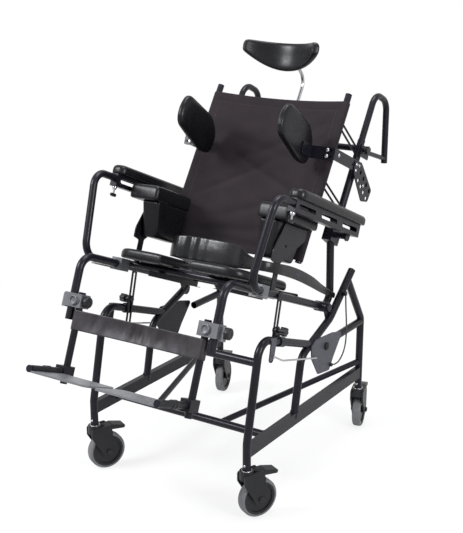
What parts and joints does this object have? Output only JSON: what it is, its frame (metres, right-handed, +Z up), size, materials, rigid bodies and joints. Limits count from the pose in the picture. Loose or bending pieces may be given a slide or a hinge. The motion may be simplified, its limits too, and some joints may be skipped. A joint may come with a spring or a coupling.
{
  "type": "rehab shower chair",
  "caption": "Wheeled tilt-in-space shower commode chair with apertured seat, sling back, headrest, trunk supports, flip-up arms and an adjustable legrest.",
  "frame": {"origin": "on the floor, midway between the four caster stems", "axes": "+Z up, the chair faces -Y, +X towards the sitter's left"},
  "size_m": [0.7214, 1.3347, 1.3736],
  "materials": {
    "frame_black": "semi-gloss black powder coat",
    "plate_slate": "slate grey powder coat",
    "fork_black": "moulded black nylon",
    "tyre_grey": "grey thermoplastic rubber",
    "hub_black": "moulded black nylon",
    "knob_black": "moulded black nylon",
    "clamp_grey": "cast, bead blasted",
    "steel": "stainless steel",
    "chrome": "polished",
    "pad_black": "semi-gloss integral skin on polyurethane foam",
    "fabric_dark": "coated mesh fabric",
    "belt_black": "coated webbing",
    "footplate_grey": "anodised aluminium plate",
    "cable_black": "cable sheath"
  },
  "bodies": {
    "base": {"cross_members": "frame_black", "stay_clamps": "frame_black", "pivot_bolts": "knob_black", "tilt_cable": "cable_black", "front_leg_left": "frame_black", "front_leg_right": "frame_black", "pivot_strut_left": "frame_black", "pivot_strut_right": "frame_black", "side_rail_left": "frame_black", "side_rail_right": "frame_black", "rear_frame_left": "frame_black", "rear_frame_right": "frame_black", "tilt_plate_left": "plate_slate", "tilt_plate_right": "plate_slate"},
    "seat": {"seat_underframe": "frame_black", "seat_pad": "pad_black", "pelvic_belt": "belt_black", "leg_hangers": "frame_black", "hanger_blocks": "clamp_grey", "back_frame": "frame_black", "back_sling": "fabric_dark", "lateral_brackets": "frame_black", "seat_rail_left": "frame_black", "seat_rail_right": "frame_black", "hip_guard_left": "pad_black", "hip_guard_right": "pad_black"},
    "legrest": {"leg_tubes": "frame_black", "calf_strap": "belt_black"},
    "headrest_stem": {"headrest_stem": "chrome"},
    "headrest": {"headrest_pad": "pad_black"},
    "fork_front_left": {"caster_fork_front_left": "fork_black"},
    "wheel_front_left": {"caster_tyre_front_left": "tyre_grey", "caster_hub_front_left": "hub_black"},
    "pedal_front_left": {"caster_pedal_front_left": "fork_black"},
    "fork_front_right": {"caster_fork_front_right": "fork_black"},
    "wheel_front_right": {"caster_tyre_front_right": "tyre_grey", "caster_hub_front_right": "hub_black"},
    "pedal_front_right": {"caster_pedal_front_right": "fork_black"},
    "fork_rear_left": {"caster_fork_rear_left": "fork_black"},
    "wheel_rear_left": {"caster_tyre_rear_left": "tyre_grey", "caster_hub_rear_left": "hub_black"},
    "pedal_rear_left": {"caster_pedal_rear_left": "fork_black"},
    "fork_rear_right": {"caster_fork_rear_right": "fork_black"},
    "wheel_rear_right": {"caster_tyre_rear_right": "tyre_grey", "caster_hub_rear_right": "hub_black"},
    "pedal_rear_right": {"caster_pedal_rear_right": "fork_black"},
    "stay_left": {"tilt_stay_left": "frame_black"},
    "knob_left": {"stay_knob_left": "knob_black"},
    "arm_left": {"arm_frame_left": "frame_black", "arm_pad_left": "pad_black"},
    "footplate_left": {"footplate_left": "footplate_grey"},
    "lateral_left": {"lateral_left": "pad_black"},
    "push_handle_left": {"push_handle_left": "frame_black"},
    "stay_right": {"tilt_stay_right": "frame_black"},
    "knob_right": {"stay_knob_right": "knob_black"},
    "arm_right": {"arm_frame_right": "frame_black", "arm_pad_right": "pad_black"},
    "footplate_right": {"footplate_right": "footplate_grey"},
    "lateral_right": {"lateral_right": "pad_black"},
    "push_handle_right": {"push_handle_right": "frame_black"}
  },
  "joints": [
    {"name": "swivel_front_left", "type": "hinge", "parent": "base", "child": "fork_front_left", "pos_m": [0.295, -0.375, 0.18], "axis": [0, 0, 1], "continuous": true},
    {"name": "roll_front_left", "type": "hinge", "parent": "fork_front_left", "child": "wheel_front_left", "pos_m": [0.31225, -0.34114, 0.0625], "axis": [0.891, -0.454, 0], "continuous": true},
    {"name": "brake_front_left", "type": "hinge", "parent": "fork_front_left", "child": "pedal_front_left", "pos_m": [0.31044, -0.34471, 0.146], "axis": [-0.891, 0.454, 0], "range_deg": [0, 12]},
    {"name": "swivel_front_right", "type": "hinge", "parent": "base", "child": "fork_front_right", "pos_m": [-0.295, -0.375, 0.18], "axis": [0, 0, 1], "continuous": true},
    {"name": "roll_front_right", "type": "hinge", "parent": "fork_front_right", "child": "wheel_front_right", "pos_m": [-0.27775, -0.34114, 0.0625], "axis": [0.891, -0.454, 0], "continuous": true},
    {"name": "brake_front_right", "type": "hinge", "parent": "fork_front_right", "child": "pedal_front_right", "pos_m": [-0.27956, -0.34471, 0.146], "axis": [-0.891, 0.454, 0], "range_deg": [0, 12]},
    {"name": "swivel_rear_left", "type": "hinge", "parent": "base", "child": "fork_rear_left", "pos_m": [0.295, 0.375, 0.18], "axis": [0, 0, 1], "continuous": true},
    {"name": "roll_rear_left", "type": "hinge", "parent": "fork_rear_left", "child": "wheel_rear_left", "pos_m": [0.28517, 0.4117, 0.0625], "axis": [0.9659, 0.2588, 0], "continuous": true},
    {"name": "brake_rear_left", "type": "hinge", "parent": "fork_rear_left", "child": "pedal_rear_left", "pos_m": [0.2862, 0.40784, 0.146], "axis": [-0.9659, -0.2588, 0], "range_deg": [0, 12]},
    {"name": "swivel_rear_right", "type": "hinge", "parent": "base", "child": "fork_rear_right", "pos_m": [-0.295, 0.375, 0.18], "axis": [0, 0, 1], "continuous": true},
    {"name": "roll_rear_right", "type": "hinge", "parent": "fork_rear_right", "child": "wheel_rear_right", "pos_m": [-0.30484, 0.4117, 0.0625], "axis": [0.9659, 0.2588, 0], "continuous": true},
    {"name": "brake_rear_right", "type": "hinge", "parent": "fork_rear_right", "child": "pedal_rear_right", "pos_m": [-0.3038, 0.40784, 0.146], "axis": [-0.9659, -0.2588, 0], "range_deg": [0, 12]},
    {"name": "tilt", "type": "hinge", "parent": "base", "child": "seat", "pos_m": [0, 0.13, 0.53], "axis": [-1, 0, 0], "range_deg": [-14, 12]},
    {"name": "stay_left", "type": "hinge", "parent": "seat", "child": "stay_left", "pos_m": [0.278, -0.16021, 0.64725], "axis": [-1, 0, 0], "range_deg": [-8, 9]},
    {"name": "stay_knob_left", "type": "hinge", "parent": "base", "child": "knob_left", "pos_m": [0.29, -0.187, 0.54527], "axis": [1, 0, 0], "range_deg": [0, 360]},
    {"name": "arm_flip_left", "type": "hinge", "parent": "seat", "child": "arm_left", "pos_m": [0.32, 0.19329, 0.76139], "axis": [-1, 0, 0], "range_deg": [0, 95]},
    {"name": "footplate_left", "type": "hinge", "parent": "legrest", "child": "footplate_left", "pos_m": [0.231, -0.65276, 0.46122], "axis": [0, 0.9272, -0.3746], "range_deg": [0, 90]},
    {"name": "lateral_left", "type": "slide", "parent": "seat", "child": "lateral_left", "axis": [1, 0, 0], "range_m": [-0.012, 0.012]},
    {"name": "push_handle_left", "type": "slide", "parent": "seat", "child": "push_handle_left", "axis": [0, 0.5446, 0.8387], "range_m": [0, 0.05]},
    {"name": "stay_right", "type": "hinge", "parent": "seat", "child": "stay_right", "pos_m": [-0.278, -0.16021, 0.64725], "axis": [-1, 0, 0], "range_deg": [-8, 9]},
    {"name": "stay_knob_right", "type": "hinge", "parent": "base", "child": "knob_right", "pos_m": [-0.29, -0.187, 0.54527], "axis": [-1, 0, 0], "range_deg": [0, 360]},
    {"name": "arm_flip_right", "type": "hinge", "parent": "seat", "child": "arm_right", "pos_m": [-0.32, 0.19329, 0.76139], "axis": [-1, 0, 0], "range_deg": [0, 95]},
    {"name": "footplate_right", "type": "hinge", "parent": "legrest", "child": "footplate_right", "pos_m": [-0.231, -0.65276, 0.46122], "axis": [0, -0.9272, 0.3746], "range_deg": [0, 90]},
    {"name": "lateral_right", "type": "slide", "parent": "seat", "child": "lateral_right", "axis": [-1, 0, 0], "range_m": [-0.012, 0.012]},
    {"name": "push_handle_right", "type": "slide", "parent": "seat", "child": "push_handle_right", "axis": [0, 0.5446, 0.8387], "range_m": [0, 0.05]},
    {"name": "legrest_length", "type": "slide", "parent": "seat", "child": "legrest", "axis": [0, -0.3746, -0.9272], "range_m": [0, 0.08]},
    {"name": "headrest_height", "type": "slide", "parent": "seat", "child": "headrest_stem", "axis": [0, 0.5446, 0.8387], "range_m": [-0.03, 0.06]},
    {"name": "headrest_tilt", "type": "hinge", "parent": "headrest_stem", "child": "headrest", "pos_m": [0, 0.38821, 1.30792], "axis": [-1, 0, 0], "range_deg": [-9, 15]}
  ],
  "couplings": [
    {"joint": "stay_left", "follows": "tilt", "ratio": -0.6},
    {"joint": "stay_right", "follows": "tilt", "ratio": -0.6}
  ]
}
